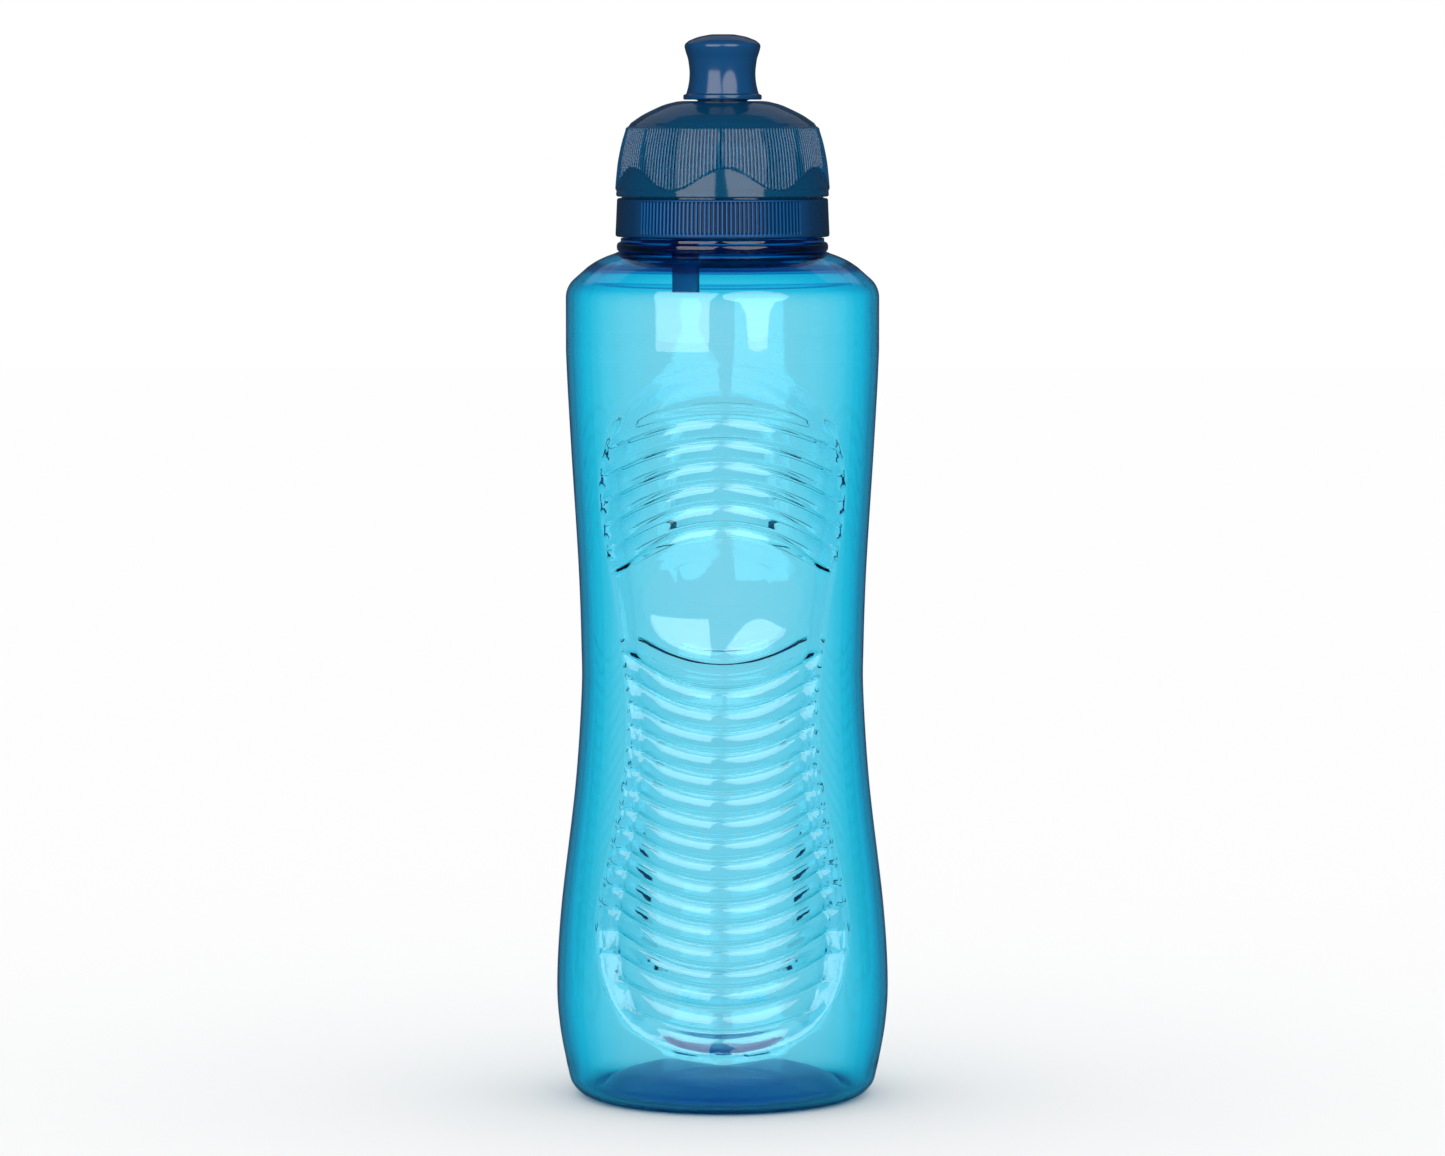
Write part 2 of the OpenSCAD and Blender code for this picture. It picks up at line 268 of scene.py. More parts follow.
def paint_edge_shade(paint, stops):
    # Painted shade: colour that deepens where the surface is seen edge on, in place of the darker
    # rims and sides that the lighting leaves there.
    tree = paint.node_tree
    edge_on = tree.nodes.new("ShaderNodeLayerWeight")
    ramp = tree.nodes.new("ShaderNodeValToRGB")
    while len(ramp.color_ramp.elements) < len(stops):
        ramp.color_ramp.elements.new(0.5)
    for element, (at, colour) in zip(ramp.color_ramp.elements, stops):
        element.position = at
        element.color = (*colour, 1.0)
    tree.links.new(edge_on.outputs["Facing"], ramp.inputs[0])
    tree.links.new(ramp.outputs["Color"], tree.nodes["Principled BSDF"].inputs["Base Color"])


def zone(paint, limits):
    # 1 where every one of these lies between its two limits, in mm: the height ("z") and the
    # distance from the axis ("r"). 0 beyond the first limit, with a soft step to the second.
    tree = paint.node_tree
    place = tree.nodes.new("ShaderNodeTexCoord")
    split = tree.nodes.new("ShaderNodeSeparateXYZ")
    tree.links.new(place.outputs["Object"], split.inputs[0])
    flat = tree.nodes.new("ShaderNodeCombineXYZ")
    tree.links.new(split.outputs["X"], flat.inputs["X"])
    tree.links.new(split.outputs["Y"], flat.inputs["Y"])
    reach = tree.nodes.new("ShaderNodeVectorMath")
    reach.operation = "LENGTH"
    tree.links.new(flat.outputs[0], reach.inputs[0])
    values = {"z": split.outputs["Z"], "r": reach.outputs["Value"]}
    product = None
    for which, start, end in limits:
        mask = tree.nodes.new("ShaderNodeMapRange")
        mask.interpolation_type = "SMOOTHSTEP"
        mask.inputs["From Min"].default_value = start * MM
        mask.inputs["From Max"].default_value = end * MM
        tree.links.new(values[which], mask.inputs["Value"])
        if product is not None:
            tree.links.new(product, mask.inputs["To Max"])
        product = mask.outputs["Result"]
    return product


def paint_light_or_shade_where(paint, factor, colour, blend="MIX"):
    # Lays a colour over the one before, or multiplies the two, where the factor is 1. Every colour
    # laid on this way is painted shade or painted light.
    tree = paint.node_tree
    mix = tree.nodes.new("ShaderNodeMix")
    mix.data_type = "RGBA"
    mix.blend_type = blend
    mix.inputs["B"].default_value = (*colour, 1.0)
    target = tree.nodes["Principled BSDF"].inputs["Base Color"]
    tree.links.new(factor, mix.inputs["Factor"])
    tree.links.new(target.links[0].from_socket, mix.inputs["A"])
    tree.links.new(mix.outputs["Result"], target)


def less_clear_for_shade_where(paint, factor, clearness):
    # Less clear plastic where the factor is 1, a painted shade: less of the bright floor shows
    # through there.
    tree = paint.node_tree
    clear = tree.nodes.new("ShaderNodeMapRange")
    clear.inputs["To Min"].default_value = 1.0
    clear.inputs["To Max"].default_value = clearness
    tree.links.new(factor, clear.inputs["Value"])
    shader = tree.nodes["Principled BSDF"]
    tree.links.new(clear.outputs["Result"], shader.inputs["Transmission Weight"])


body_line = curve([[heel_r - 2.3, 7.4], [heel_r - 0.6, 17.1], [heel_r, 28],
                   [heel_r - 1.1, 46.1], [waist_r + 1.5, 75.1], [waist_r, 97],
                   [waist_r, 109], [waist_r + 0.65, 128], [waist_r + 2.3, 155],
                   [barrel_r - 0.4, 171], [barrel_r, 180]])
floor_line = curve([[heel_r - 0.3, 13], [waist_r + 3.6, 21.5], [waist_r + 2.6, 28],
                    [waist_r + 1.4, 46], [waist_r - 0.4, 75], [waist_r - 1.1, 97],
                    [waist_r - 0.6, 128], [waist_r + 1.5, 160], [barrel_r - 0.9, 171],
                    [barrel_r + 0.2, 180]])
panel_edge = curve([[0, 14.8], [12.5, 16.6], [23, 23], [28.2, 32.5], [29.4, 44], [27.4, 56],
                    [23.8, 73], [21.9, 91], [23.3, 108], [26.2, 128], [28.6, 143],
                    [28.4, 153], [25.2, 163], [18.5, 170.4], [9.5, 175.2], [0, 176.8]])


def body_r(z):
    return np.interp(z, body_line[:, 1], body_line[:, 0])


def panel_floor_depth(z):
    return np.maximum(0, body_r(z) - np.interp(z, floor_line[:, 1], floor_line[:, 0]))


def inside_panel(x, z):
    # Distance in from the panel's edge, in mm; negative outside.
    gap = np.full(x.shape, 1e9)
    for (x0, z0), (x1, z1) in zip(panel_edge[:-1], panel_edge[1:]):
        along = ((x - x0) * (x1 - x0) + (z - z0) * (z1 - z0)) / ((x1 - x0)**2 + (z1 - z0)**2)
        along = np.clip(along, 0, 1)
        gap = np.minimum(gap, np.hypot(x - x0 - along * (x1 - x0), z - z0 - along * (z1 - z0)))
    half_w = np.interp(z, panel_edge[:, 1], panel_edge[:, 0], left=-1, right=-1)
    return np.where(x < half_w, gap, -gap)


def ring_bend(level):
    # How fast a ring rises away from its middle: the lower rings sag, the upper ones arch.
    return np.interp(level, [7.4, 15, 25, 45, 80, 91, 101, 140, 150, 165, 180],
                     [0, .0075, .0084, .0097, .0115, .0125, .0144, -.0157, -.0128, -.0095, 0])


def ring_groove(level, softness, width):
    # 1 in the crease between two rings and 0 on the crown of a ring. Half a ring past the first
    # and last crease of a group the grooves have faded out.
    in_lower = level < between_z
    number = (np.where(in_lower, lower_first_z, upper_first_z) - level) / ring_pitch
    last = np.where(in_lower, lower_rings, upper_rings) - 1
    crease = 1 + softness - np.sqrt(np.sin(np.pi * number)**2 + softness**2)
    return (np.clip(crease, 0, 1)**width * ease(1 + number / 0.45)
            * ease(1 + (last - number) / 0.5))


def grip_rows(level, angles, wall, softness, width):
    # Radius and height of the wall's rows: each row follows a ring of the grip panels. The
    # creases are softest, by the first softness, in the middle of the panel.
    turn = (np.degrees(angles) + 180) % 180 - 90
    level = level[:, None] * np.ones_like(turn)
    x = body_r(level) * np.abs(np.sin(np.radians(turn)))
    sideways = np.minimum(x, 29) ** 2 * (1 - ease((np.abs(turn) - 56) / 28))
    z = level + ring_bend(level) * sideways
    r = body_r(z)
    x = r * np.abs(np.sin(np.radians(turn)))
    edge_in = inside_panel(x, z) + wall * 0.7
    edge_w = np.interp(z, [16, 30, 60, 110, 150], [1.6, 2.0, 1.9, 2.6, 3.6])
    pocket = panel_floor_depth(z) * ease(edge_in / edge_w)
    softness = np.interp(x, [12, 26], softness)
    groove = ring_depth * ring_groove(level, softness, width) * ease((edge_in - 0.2) / 1.1)
    dish = np.clip(1 - (x / oval_half_w)**2 - ((z - oval_z) / oval_half_h)**2, 0, 1)
    return r - wall - pocket - groove - oval_dish * dish**0.8, z


near_edge = np.linspace(34.4, 58, 19)
dense = np.concatenate([-near_edge[::-1], np.linspace(-33, 33, 29), near_edge])
side = np.linspace(58, 122, 11)[1:-1]
seam = np.array([89.3, 89.6, 90.4, 90.7])
columns = np.radians(np.concatenate([dense - 90, side - 90, seam - 90,
                                     dense + 90, side + 90, seam + 90]))
columns = np.sort((columns + math.pi) % (2 * math.pi) - math.pi)


def ring_levels(first, count, parts):
    # Rows for a run of rings, closest together at the creases, half a ring past either end.
    level = first - ring_pitch * (np.arange(-1, count)[:, None] + np.array(parts)).ravel()
    low, high = first - ring_pitch * (count - 0.5), first + ring_pitch * 0.5
    return level[(level >= low) & (level <= high)]


outer_parts = [0, 0.05, 0.14, 0.3, 0.5, 0.7, 0.86, 0.95]
inner_parts = [0, 0.12, 0.32, 0.68, 0.88]
outer_levels = np.concatenate([
    np.linspace(180, 168.6, 12), ring_levels(upper_first_z, upper_rings, outer_parts),
    np.linspace(136.9, 104.4, 44), ring_levels(lower_first_z, lower_rings, outer_parts),
    np.linspace(12, 7.4, 6)])[::-1]
inner_levels = np.concatenate([
    np.linspace(180, 169.2, 7), ring_levels(upper_first_z, upper_rings, inner_parts),
    np.linspace(136.5, 105, 22), ring_levels(lower_first_z, lower_rings, inner_parts),
    np.linspace(12, 9, 3)])
under = np.vstack([curve([[0, push_up], [12, push_up * 0.9], [24, push_up * 0.55],
                          [foot_in_r - 0.8, 0.3], [foot_in_r, 0]], 5),
                   [[foot_out_r - 1, 0]],
                   arc(foot_out_r, corner_r, corner_r, -90, -12, 12)])
shoulder_arc_r, shoulder_arc_z, shoulder_turn = 6.0, 192.6, 48
shoulder = np.vstack([[[barrel_r, 182], [barrel_r, 186], [barrel_r, 190]],
                      arc(barrel_r - shoulder_arc_r, shoulder_arc_z, shoulder_arc_r,
                          0, shoulder_turn, 12),
                      curve([[32.4, 199.9], [30.3, 201.3], [28.0, 202.4],
                             [bead_r + 0.5, 203.2]], 4)])
neck = np.vstack([arc(bead_r - 1.0, 204.5, 1.0, -60, 0, 4),
                  arc(bead_r - 1.0, 205.0, 1.0, 0, 90, 6),
                  [[ledge_r, 206.0], [ledge_r, 206.75], [ledge_r - 0.15, 206.9],
                   [neck_r + 0.5, 206.9], [neck_r + 0.15, 207.0], [neck_r, 207.3]]])
thread_levels = np.linspace(208, 216.4, 34)
rim = np.vstack([[[neck_r, 218], [neck_r, 222]], arc(neck_r - 0.6, rim_z - 0.6, 0.6, 0, 90, 4),
                 arc(neck_r - neck_wall + 0.4, rim_z - 0.4, 0.4, 90, 180, 4)])
neck_in = neck_r - neck_wall
throat = np.vstack([[[neck_in, 216], [neck_in, 209]],
                    curve([[neck_in, 206.5], [neck_in + 0.15, 205.2], [neck_in + 0.9, 203.6],
                           [22.9, 202.6], [25.25, 201.7], [27.3, 200.95], [29.4, 199.96],
                           [31.4, 198.7], [33.1, 197.3]], 3),
                    arc(barrel_r - shoulder_arc_r, shoulder_arc_z, shoulder_arc_r - body_wall,
                        shoulder_turn, 0, 10),
                    [[barrel_r - body_wall, 190], [barrel_r - body_wall, 185]]])
inside_base = np.vstack([arc(foot_out_r, corner_r, corner_r - body_wall, -12, -86, 12),
                         curve([[foot_out_r - 2.0, 2.1], [foot_in_r - 2.0, 3.9],
                                [20, push_up * 0.7 + base_wall], [0, push_up + base_wall]], 6)])


def even(profile):
    # A plain round stretch of the profile: the same radius in every column.
    return (np.repeat(profile[:, :1], len(columns), 1), np.repeat(profile[:, 1:], len(columns), 1))


def helix_height(z, angles, start_z, turns, lead, root_h, crest_h):
    # 0 off the thread and 1 on its crest, for one right-hand thread that starts at angle 0 and
    # fades in and out over a short turn at its ends.
    turn = (angles % (2 * math.pi)) / (2 * math.pi)
    height = np.zeros(np.broadcast(z, turn).shape)
    for lap in range(math.ceil(turns)):
        along = turn + lap
        off = np.abs(z - start_z - lead * along)
        flank = np.clip((root_h / 2 - off) / (root_h / 2 - crest_h / 2), 0, 1)
        fade = ease(np.minimum(along, turns - along) / 0.06)
        height = np.maximum(height, flank * fade)
    return height


thread_z = np.repeat(thread_levels[:, None], len(columns), 1)
thread_root_h, thread_crest_h = 1.6, 0.8
thread_r = neck_r + thread_depth * helix_height(thread_z, columns, neck_thread_z, thread_turns,
                                                thread_lead, thread_root_h, thread_crest_h)
stretches = [even(under), grip_rows(outer_levels, columns, 0.0, [0.15, 0.075], 2.1),
             even(shoulder), even(neck),
             (thread_r, thread_z), even(rim), even(throat),
             grip_rows(inner_levels, columns, body_wall, [0.26, 0.2], 1.6), even(inside_base)]
bottle = lathe("bottle_wall", np.vstack([s[0] for s in stretches]),
               np.vstack([s[1] for s in stretches]), columns, loop=False)
clear_blue = plastic("clear_cyan_copolyester", (0.97, 0.99, 1.0), 0.02, 0.012, 14,
                     transmission=1.0, ior=1.56, gloss=0.68)
tint_through(clear_blue, (0.04, 0.805, 0.945), 520)
# Painted shade: the wall's colour deepens toward the parts seen edge on, in place of the dark rims
# that the lighting gives there.
paint_edge_shade(clear_blue, [(0.0, (1.0, 1.0, 1.0)), (0.25, (0.75, 0.99, 1.0)),
                        (0.55, (0.06, 0.91, 0.99)), (1.0, (0.0, 0.52, 0.80))])
# Painted shade: the base is painted deep blue and made less clear, in place of the shaded floor
# under the bottle seen through it.
base_shade_zone = zone(clear_blue, [("z", 9.8, 8.2), ("r", 33.0, 31.6)])
paint_light_or_shade_where(clear_blue, base_shade_zone, (0.0, 0.33, 0.88))
less_clear_for_shade_where(clear_blue, base_shade_zone, 0.62)
# Painted shade: the shoulder band between 190 and 198.5 mm is multiplied to a deeper cyan, in place
# of the dark band that the curved wall gives there.
paint_light_or_shade_where(clear_blue, zone(clear_blue, [("z", 190.0, 198.5)]), (0.36, 0.90, 0.97), "MULTIPLY")
# Painted shade: the neck, bead, thread and rim above 199.6 mm are painted dark navy, in place of
# the shade that the lid casts inside them.
paint_light_or_shade_where(clear_blue, zone(clear_blue, [("z", 198.6, 199.6)]), (0.02, 0.22, 0.47))
# Painted light: a ring on the top of the shoulder is painted a lighter cyan than the neck, where
# the white backdrop shows through beside the bead.
shoulder_top_painted_light = zone(clear_blue, [("z", 198.6, 199.6), ("r", 31.8, 29.8), ("r", 25.7, 26.6)])
paint_light_or_shade_where(clear_blue, shoulder_top_painted_light, (0.10, 0.74, 0.95))
bottle.data.materials.append(clear_blue)
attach(bottle, "bottle")
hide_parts("bottle_shell")


# ---- screw ring ----
# The knurled ring that screws the lid down, moulded in deep blue polypropylene with a
# right-hand thread inside. Two fields of fine upright knurls face front and back.

ring_low_z, ring_top_z, ring_r = 207.2, 216.4, 25.65
ring_edge, ring_taper = 0.5, 0.35
ring_bore, ring_socket, ring_socket_z = 23.3, 24.25, 213.2
ring_thread_z = 208.5
knurl_pitch, knurl_field, knurl_turn = 2.34, 48.0, -1.3
knurl_depth, knurl_low_z, knurl_top_z = 0.5, 208.0, 215.9
knurl_run_in, knurl_run_out = 0.5, 0.3


def math_node(tree, operation, *values):
    # A math node fed with numbers or sockets, and its result.
    node = tree.nodes.new("ShaderNodeMath")
    node.operation = operation
    for socket, value in zip(node.inputs, values):
        if isinstance(value, (int, float)):
            socket.default_value = value
        else:
            tree.links.new(value, socket)
    return node.outputs[0]


def ease_node(tree, value, low, high):
    # 0 up to low, 1 from high on, and a smooth step between them.
    node = tree.nodes.new("ShaderNodeMapRange")
    node.interpolation_type = "SMOOTHSTEP"
    for name, number in (("From Min", low), ("From Max", high)):
        if isinstance(number, (int, float)):
            node.inputs[name].default_value = number
        else:
            tree.links.new(number, node.inputs[name])
    tree.links.new(value, node.inputs["Value"])
    return node.outputs["Result"]


def start_rib_tree(name, sizes):
    # A tree with named sizes. Gives the tree, its first node and the place of each point: its
    # height, its distance from the axis and its turn in degrees from the front, to the right.
    tree = bpy.data.node_groups.new(name, "GeometryNodeTree")
    tree.interface.new_socket("Geometry", in_out="INPUT", socket_type="NodeSocketGeometry")
    tree.interface.new_socket("Geometry", in_out="OUTPUT", socket_type="NodeSocketGeometry")
    for size_name, value in sizes.items():
        socket = tree.interface.new_socket(size_name, in_out="INPUT", socket_type="NodeSocketFloat")
        socket.default_value = value
    start = tree.nodes.new("NodeGroupInput")
    position = tree.nodes.new("GeometryNodeInputPosition")
    split = tree.nodes.new("ShaderNodeSeparateXYZ")
    tree.links.new(position.outputs[0], split.inputs[0])
    x, y, z = split.outputs
    radius = math_node(tree, "SQRT", math_node(tree, "ADD", math_node(tree, "MULTIPLY", x, x),
                                               math_node(tree, "MULTIPLY", y, y)))
    forward = math_node(tree, "MULTIPLY", y, -1.0)
    turn = math_node(tree, "MULTIPLY", math_node(tree, "ARCTAN2", x, forward), 180 / math.pi)
    return tree, start, {"x": x, "y": y, "z": z, "radius": radius, "turn": turn}


def finish_rib_tree(tree, start, place, out_by, relief, paint):
    # Moves the wall out by out_by along its radius, then paints it. The relief is kept for the
    # painted shade in the grooves and painted highlight on the crowns: -1 in a groove, 0 on plain
    # wall, 1 on a crown.
    scale = math_node(tree, "DIVIDE", out_by, place["radius"])
    offset = tree.nodes.new("ShaderNodeCombineXYZ")
    tree.links.new(math_node(tree, "MULTIPLY", place["x"], scale), offset.inputs[0])
    tree.links.new(math_node(tree, "MULTIPLY", place["y"], scale), offset.inputs[1])
    keep = tree.nodes.new("GeometryNodeStoreNamedAttribute")
    keep.data_type = "FLOAT"
    keep.domain = "POINT"
    keep.inputs["Name"].default_value = "relief"
    tree.links.new(relief, keep.inputs["Value"])
    move = tree.nodes.new("GeometryNodeSetPosition")
    realize = tree.nodes.new("GeometryNodeRealizeInstances")
    dress = tree.nodes.new("GeometryNodeSetMaterial")
    dress.inputs["Material"].default_value = paint
    end = tree.nodes.new("NodeGroupOutput")
    tree.links.new(start.outputs["Geometry"], keep.inputs["Geometry"])
    tree.links.new(keep.outputs["Geometry"], move.inputs["Geometry"])
    tree.links.new(offset.outputs[0], move.inputs["Offset"])
    tree.links.new(move.outputs[0], realize.inputs[0])
    tree.links.new(realize.outputs[0], dress.inputs[0])
    tree.links.new(dress.outputs[0], end.inputs[0])


def paint_relief_shade_and_highlight(paint, strength):
    # Painted shade and highlight: grooves darker and crowns lighter than the plain wall, by this
    # share of its colour.
    tree = paint.node_tree
    relief = tree.nodes.new("ShaderNodeAttribute")
    relief.attribute_name = "relief"
    share = tree.nodes.new("ShaderNodeMapRange")
    share.inputs["From Min"].default_value = -1.0
    share.inputs["To Min"].default_value = 1.0 - strength
    share.inputs["To Max"].default_value = 1.0 + strength
    tree.links.new(relief.outputs["Fac"], share.inputs["Value"])
    shade = tree.nodes.new("ShaderNodeVectorMath")
    shade.operation = "SCALE"
    target = tree.nodes["Principled BSDF"].inputs["Base Color"]
    tree.links.new(target.links[0].from_socket, shade.inputs[0])
    tree.links.new(share.outputs["Result"], shade.inputs["Scale"])
    tree.links.new(shade.outputs["Vector"], target)


def grow(piece, tree, sizes):
    # Runs a tree on a piece with these sizes and keeps the result as a plain mesh.
    modifier = piece.modifiers.new(tree.name, "NODES")
    modifier.node_group = tree
    for item in tree.interface.items_tree:
        if item.item_type == "SOCKET" and item.in_out == "INPUT" and item.name in sizes:
            modifier[item.identifier] = float(sizes[item.name])
    solid = piece.evaluated_get(bpy.context.evaluated_depsgraph_get())
    made = bpy.data.meshes.new_from_object(solid)
    piece.modifiers.remove(modifier)
    piece.data = made
    made.shade_smooth()
    made.set_sharp_from_angle(angle=math.radians(30))


deep_blue = plastic("deep_blue_polypropylene", (0.0012, 0.036, 0.118), 0.26, 0.008, 3.0,
                    gloss=0.22)
# Painted shade: the ring darkens toward its sides seen edge on, where the lamps light it less.
paint_edge_shade(deep_blue, [(0.0, (0.0015, 0.045, 0.145)), (0.2, (0.0013, 0.040, 0.130)),
                       (0.45, (0.001, 0.020, 0.062)), (1.0, (0.001, 0.008, 0.02))])
# Painted shade in the knurls' grooves and painted highlight on their crowns.
paint_relief_shade_and_highlight(deep_blue, 0.65)

knurl_sizes = {"Pitch": knurl_pitch, "Field": knurl_field, "Field turn": knurl_turn,
               "Depth": knurl_depth * MM, "Low": knurl_low_z * MM, "Top": knurl_top_z * MM,
               "Skin": (ring_r - 0.9) * MM}
knurls, start, place = start_rib_tree("knurls", knurl_sizes)
size = start.outputs
signed = math_node(knurls, "WRAP",
                   math_node(knurls, "SUBTRACT", place["turn"], size["Field turn"]), 90.0, -90.0)
phase = math_node(knurls, "MULTIPLY", math_node(knurls, "DIVIDE", signed, size["Pitch"]),
                  2 * math.pi)
notch = ease_node(knurls, math_node(knurls, "COSINE", phase), -0.7, 0.5)
in_field = ease_node(knurls, math_node(knurls, "ABSOLUTE", signed), size["Field"],
                     math_node(knurls, "SUBTRACT", size["Field"], 0.5))
above_low = ease_node(knurls, place["z"], size["Low"],
                      math_node(knurls, "ADD", size["Low"], knurl_run_in * MM))
below_top = ease_node(knurls, place["z"], size["Top"],
                      math_node(knurls, "SUBTRACT", size["Top"], knurl_run_out * MM))
on_skin = math_node(knurls, "GREATER_THAN", place["radius"], size["Skin"])
knurled = math_node(knurls, "MULTIPLY", math_node(knurls, "MULTIPLY", above_low, below_top),
                    math_node(knurls, "MULTIPLY", on_skin, in_field))
cut = math_node(knurls, "MULTIPLY", math_node(knurls, "MULTIPLY", notch, knurled), size["Depth"])
crest = math_node(knurls, "SUBTRACT", 1.0, math_node(knurls, "MULTIPLY", notch, 2.0))
finish_rib_tree(knurls, start, place, math_node(knurls, "MULTIPLY", cut, -1.0),
                math_node(knurls, "MULTIPLY", crest, knurled), deep_blue)

ring_columns = round(6 * 360 / knurl_pitch)
ring_angles = np.linspace(0, 2 * math.pi, ring_columns, endpoint=False)
ring_outside = np.vstack([
    [[ring_bore + 0.2, ring_low_z], [ring_bore + 1.0, ring_low_z]],
    arc(ring_r - ring_edge, ring_low_z + ring_edge, ring_edge, -90, 0, 5),
    curve([[ring_r, 207.9], [ring_r - ring_taper, 215.8]], 16),
    arc(ring_r - ring_taper - ring_edge, ring_top_z - ring_edge, ring_edge, 0, 90, 5),
    [[ring_socket, ring_top_z], [ring_socket, ring_socket_z], [ring_bore, ring_socket_z]]])
ring_inside_z = np.linspace(ring_socket_z - 0.2, ring_low_z + 0.2, 22)
ring_inside_r = ring_bore - thread_depth * helix_height(
    ring_inside_z[:, None], ring_angles, ring_thread_z, 1.0, thread_lead,
    thread_root_h, thread_crest_h)
ring_round = np.ones(len(ring_angles))
screw_ring = lathe("screw_ring_knurled",
                   np.vstack([ring_outside[:, :1] * ring_round, ring_inside_r]),
                   np.vstack([ring_outside[:, 1:] * ring_round,
                              ring_inside_z[:, None] * ring_round]),
                   ring_angles)
grow(screw_ring, knurls, knurl_sizes)
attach(screw_ring, "lid")
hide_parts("screw_ring")


# ---- dome ----
# The domed cover that snaps into the screw ring, moulded in the same blue but thin enough to
# see into. Fine upright ribs run down from its edge to a wavy border, under which the wall is
# smooth and glossy.

dome_wall, dome_hole_r = 1.3, 6.1
rib_count, rib_height, rib_land = 180, 0.20, 0.10
wave_count, wave_mid_z, wave_height, wave_turn = 6, 221.0, 2.7, 1.6
rib_top_z, rib_step_up, rib_fade = 233.6, 0.3, 0.6
dome_skin_r = 22.4
columns_per_rib = 5
dome_side = curve([[25.5, 217.1], [25.35, 219.4], [25.1, 222.2], [24.7, 225.5], [23.9, 229.4],
                   [22.95, 232.6]], 9)
dome_top = curve([[22.0, 234.3], [20.6, 235.3], [18.5, 236.6], [14.2, 238.6], [10.8, 239.5]], 5)

dome_blue = plastic("translucent_blue_polypropylene", (0.004, 0.115, 0.26), 0.08, 0.006, 8.0,
                    transmission=0.72, ior=1.5, gloss=0.4)
tint_through(dome_blue, (0.1, 0.7, 0.9), 80)
# Painted shade: the dome darkens toward its sides seen edge on, where the lamps light it less.
paint_edge_shade(dome_blue, [(0.0, (0.004, 0.125, 0.28)), (0.4, (0.003, 0.10, 0.24)),
                       (0.7, (0.003, 0.06, 0.15)), (1.0, (0.003, 0.03, 0.08))])
# Painted shade between the ribs and painted highlight on their crowns.
paint_relief_shade_and_highlight(dome_blue, 0.62)

rib_sizes = {"Ribs": rib_count, "Height": rib_height * MM, "Land": rib_land * MM,
             "Waves": wave_count, "Wave middle": wave_mid_z * MM, "Wave height": wave_height * MM,
             "Wave turn": wave_turn, "Top": rib_top_z * MM,
             "Skin": dome_skin_r * MM}
ribs, start, place = start_rib_tree("dome_ribs", rib_sizes)
size = start.outputs
angle = math_node(ribs, "RADIANS", place["turn"])
rib_phase = math_node(ribs, "MULTIPLY", angle, size["Ribs"])
crown = ease_node(ribs, math_node(ribs, "COSINE", rib_phase), -0.75, -0.3)
wave_start = math_node(ribs, "RADIANS", size["Wave turn"])
wave_angle = math_node(ribs, "MULTIPLY", size["Waves"],
                       math_node(ribs, "SUBTRACT", angle, wave_start))
wave = math_node(ribs, "MULTIPLY", size["Wave height"], math_node(ribs, "COSINE", wave_angle))
border = math_node(ribs, "ADD", size["Wave middle"], wave)
above_border = ease_node(ribs, place["z"], border,
                         math_node(ribs, "ADD", border, rib_step_up * MM))
below_edge = ease_node(ribs, place["z"], size["Top"],
                       math_node(ribs, "SUBTRACT", size["Top"], rib_fade * MM))
on_skin = math_node(ribs, "GREATER_THAN", place["radius"], size["Skin"])
raised = math_node(ribs, "MULTIPLY", math_node(ribs, "MULTIPLY", above_border, below_edge), on_skin)
rib_out = math_node(ribs, "MULTIPLY", crown, size["Height"])
out_by = math_node(ribs, "MULTIPLY", raised, math_node(ribs, "ADD", size["Land"], rib_out))
relief = math_node(ribs, "MULTIPLY", raised,
                   math_node(ribs, "SUBTRACT", math_node(ribs, "MULTIPLY", crown, 2.0), 1.0))
finish_rib_tree(ribs, start, place, out_by, relief, dome_blue)

dome_angles = np.linspace(0, 2 * math.pi, rib_count * columns_per_rib, endpoint=False)
dome_round = np.ones(len(dome_angles))
press_rib_r, flange_top_z = 21.5, 229.05
dome_profile = np.vstack([
    [[24.2, 216.8], [25.2, 216.8]], dome_side, arc(21.95, 232.75, 1.0, 15, 60, 4), dome_top,
    [[9.6, 239.6], [dome_hole_r + 0.2, 239.6], [dome_hole_r, 239.4], [dome_hole_r, 238.2],
     [7.6, 238.2], [7.9, 238.6]],
    dome_top[-2:6:-3] - [0.5, dome_wall],
    [[press_rib_r - 0.9, 233.9], [press_rib_r - 0.9, flange_top_z + 0.1],
     [press_rib_r, flange_top_z + 0.1], [press_rib_r, 232.8]],
    dome_side[-8:4:-6] - [dome_wall, 0],
    [[23.4, 218.2], [23.4, 213.6], [24.2, 213.6]]])
dome = lathe("dome_ribbed", dome_profile[:, :1] * dome_round, dome_profile[:, 1:] * dome_round,
             dome_angles)
grow(dome, ribs, rib_sizes)
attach(dome, "lid")
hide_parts("dome_cover")


# ---- valve carrier ----
# The inner body of the lid, one moulding in blue polypropylene: a flange on the neck's rim, a
# plug skirt with one guide leg hanging in the neck, a cone up to the chimney, and the pin that
# shuts the spout.

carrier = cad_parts["valve_carrier"]
carrier_blue = plastic("carrier_blue_polypropylene", (0.010, 0.10, 0.27), 0.3, 0.008, 4.0,
                       gloss=0.3)
carrier.data.materials.clear()
carrier.data.materials.append(carrier_blue)


# ---- neck seal ----
# A flat ring of soft dark rubber, matte and a little dusty. The carrier's flange presses it on
# the neck's rim when the lid is screwed down.

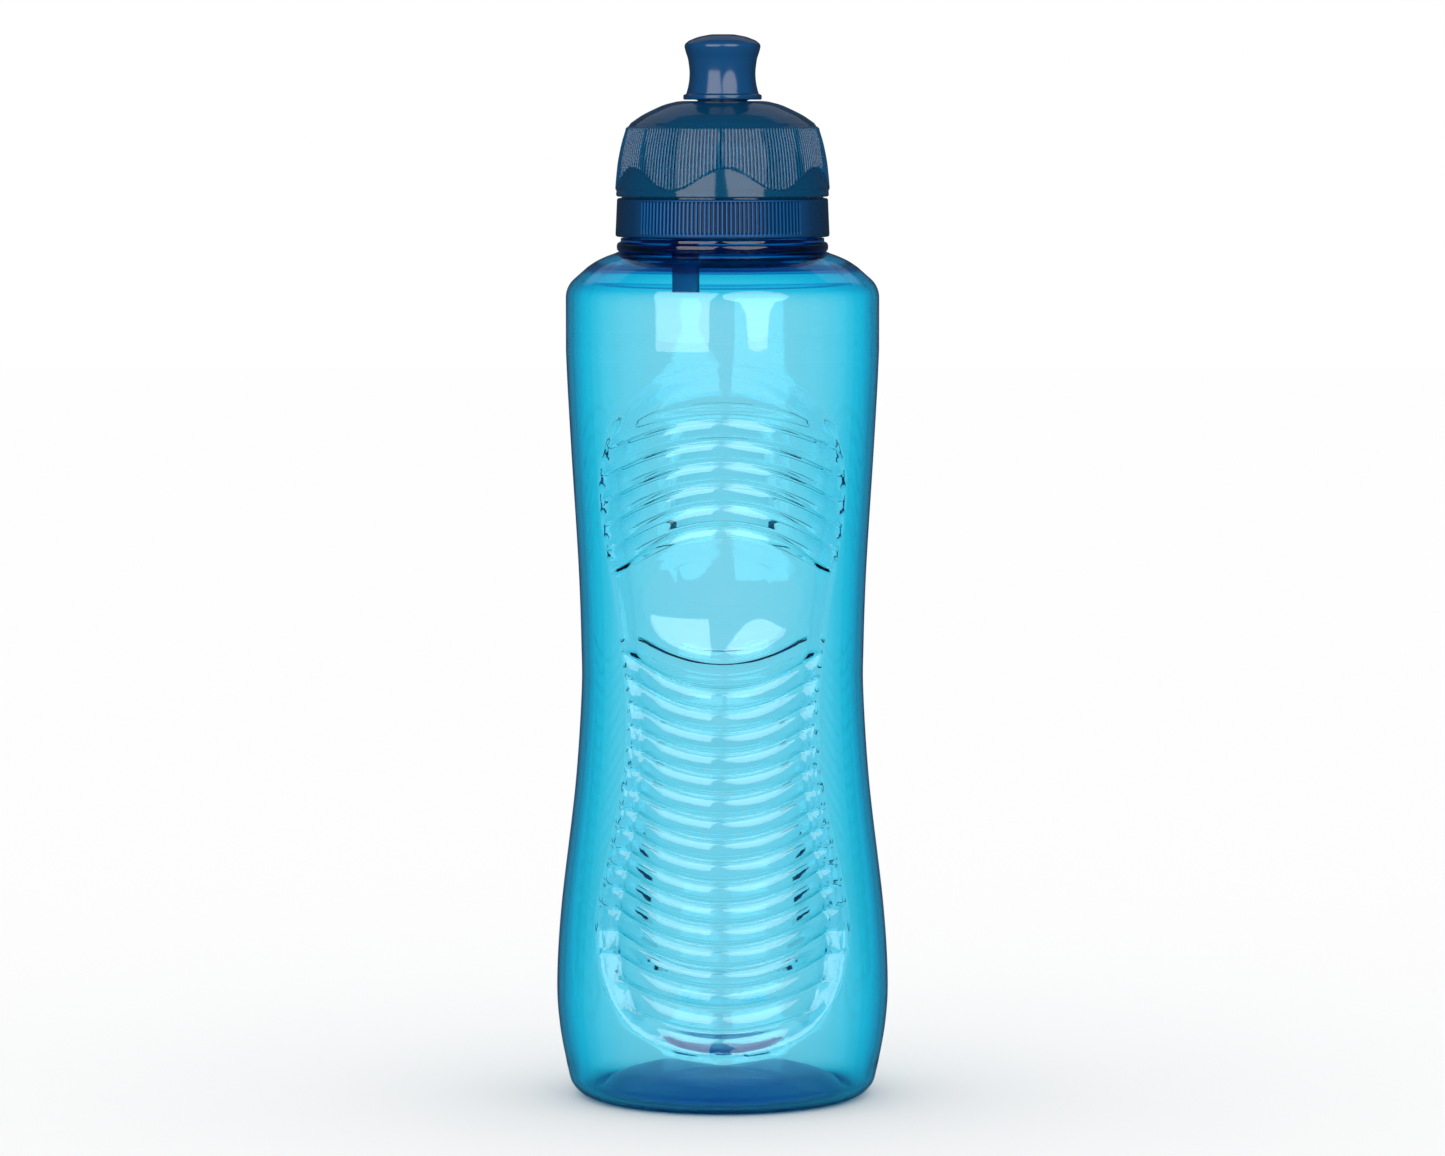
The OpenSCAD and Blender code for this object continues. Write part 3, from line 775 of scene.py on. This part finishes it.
seal_rubber = plastic("seal_rubber", (0.02, 0.025, 0.035), 0.65, 0.02, 1.0)
neck_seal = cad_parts["neck_seal"]
neck_seal.data.materials.clear()
neck_seal.data.materials.append(seal_rubber)


# ---- spout seal ----
# An O-ring of the same rubber, stretched into the groove of the carrier's chimney. The spout
# slides over it.

spout_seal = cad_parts["spout_seal"]
spout_seal.data.materials.clear()
spout_seal.data.materials.append(seal_rubber)


# ---- spout ----
# The push-pull bite spout: a waisted sleeve of softer blue plastic with a rolled rim to grip
# with the teeth and a small flange below, closed by the pin in its drinking hole.

spout_rim_r, waist = 9.1, 7.9
drink_hole_r, lip_r, spout_bore = 2.3, 6.55, 7.0
spout_angles = np.linspace(0, 2 * math.pi, 180, endpoint=False)
spout_round = np.ones(len(spout_angles))
spout_profile = np.vstack([
    [[lip_r, 240.1], [lip_r + 0.2, 239.9], [9.15, 239.9], [9.35, 240.05]],
    curve([[9.4, 240.2], [9.4, 240.8], [9.3, 241.05], [8.95, 241.2], [8.66, 241.35]], 3),
    curve([[8.62, 241.6], [8.33, 242.6], [waist + 0.1, 244.4], [waist, 246.3],
           [waist + 0.15, 248.2], [waist + 0.4, 249.7], [waist + 0.72, 250.7],
           [spout_rim_r - 0.2, 251.6]], 5),
    arc(spout_rim_r - 1.1, 252.6, 1.1, -10, 55, 7),
    curve([[8.0, 254.0], [6.8, 254.5], [5.5, 254.95], [drink_hole_r + 1.2, 255.35],
           [drink_hole_r + 0.3, 255.48]], 4),
    [[drink_hole_r, 255.3], [drink_hole_r, 251.6], [spout_bore, 251.6], [spout_bore, 241.7],
     [lip_r, 241.5]]])
spout = lathe("spout_bite", spout_profile[:, :1] * spout_round, spout_profile[:, 1:] * spout_round,
              spout_angles)
spout_blue = plastic("soft_blue_spout", (0.0024, 0.041, 0.122), 0.15, 0.008, 2.5, gloss=0.62)
# Painted shade: the spout darkens toward its sides seen edge on, where the lamps light it less.
paint_edge_shade(spout_blue, [(0.0, (0.0024, 0.042, 0.126)), (0.35, (0.0022, 0.038, 0.114)),
                        (0.6, (0.0012, 0.024, 0.075)), (1.0, (0.001, 0.012, 0.04))])
spout.data.materials.append(spout_blue)
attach(spout, "spout")
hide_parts("spout")
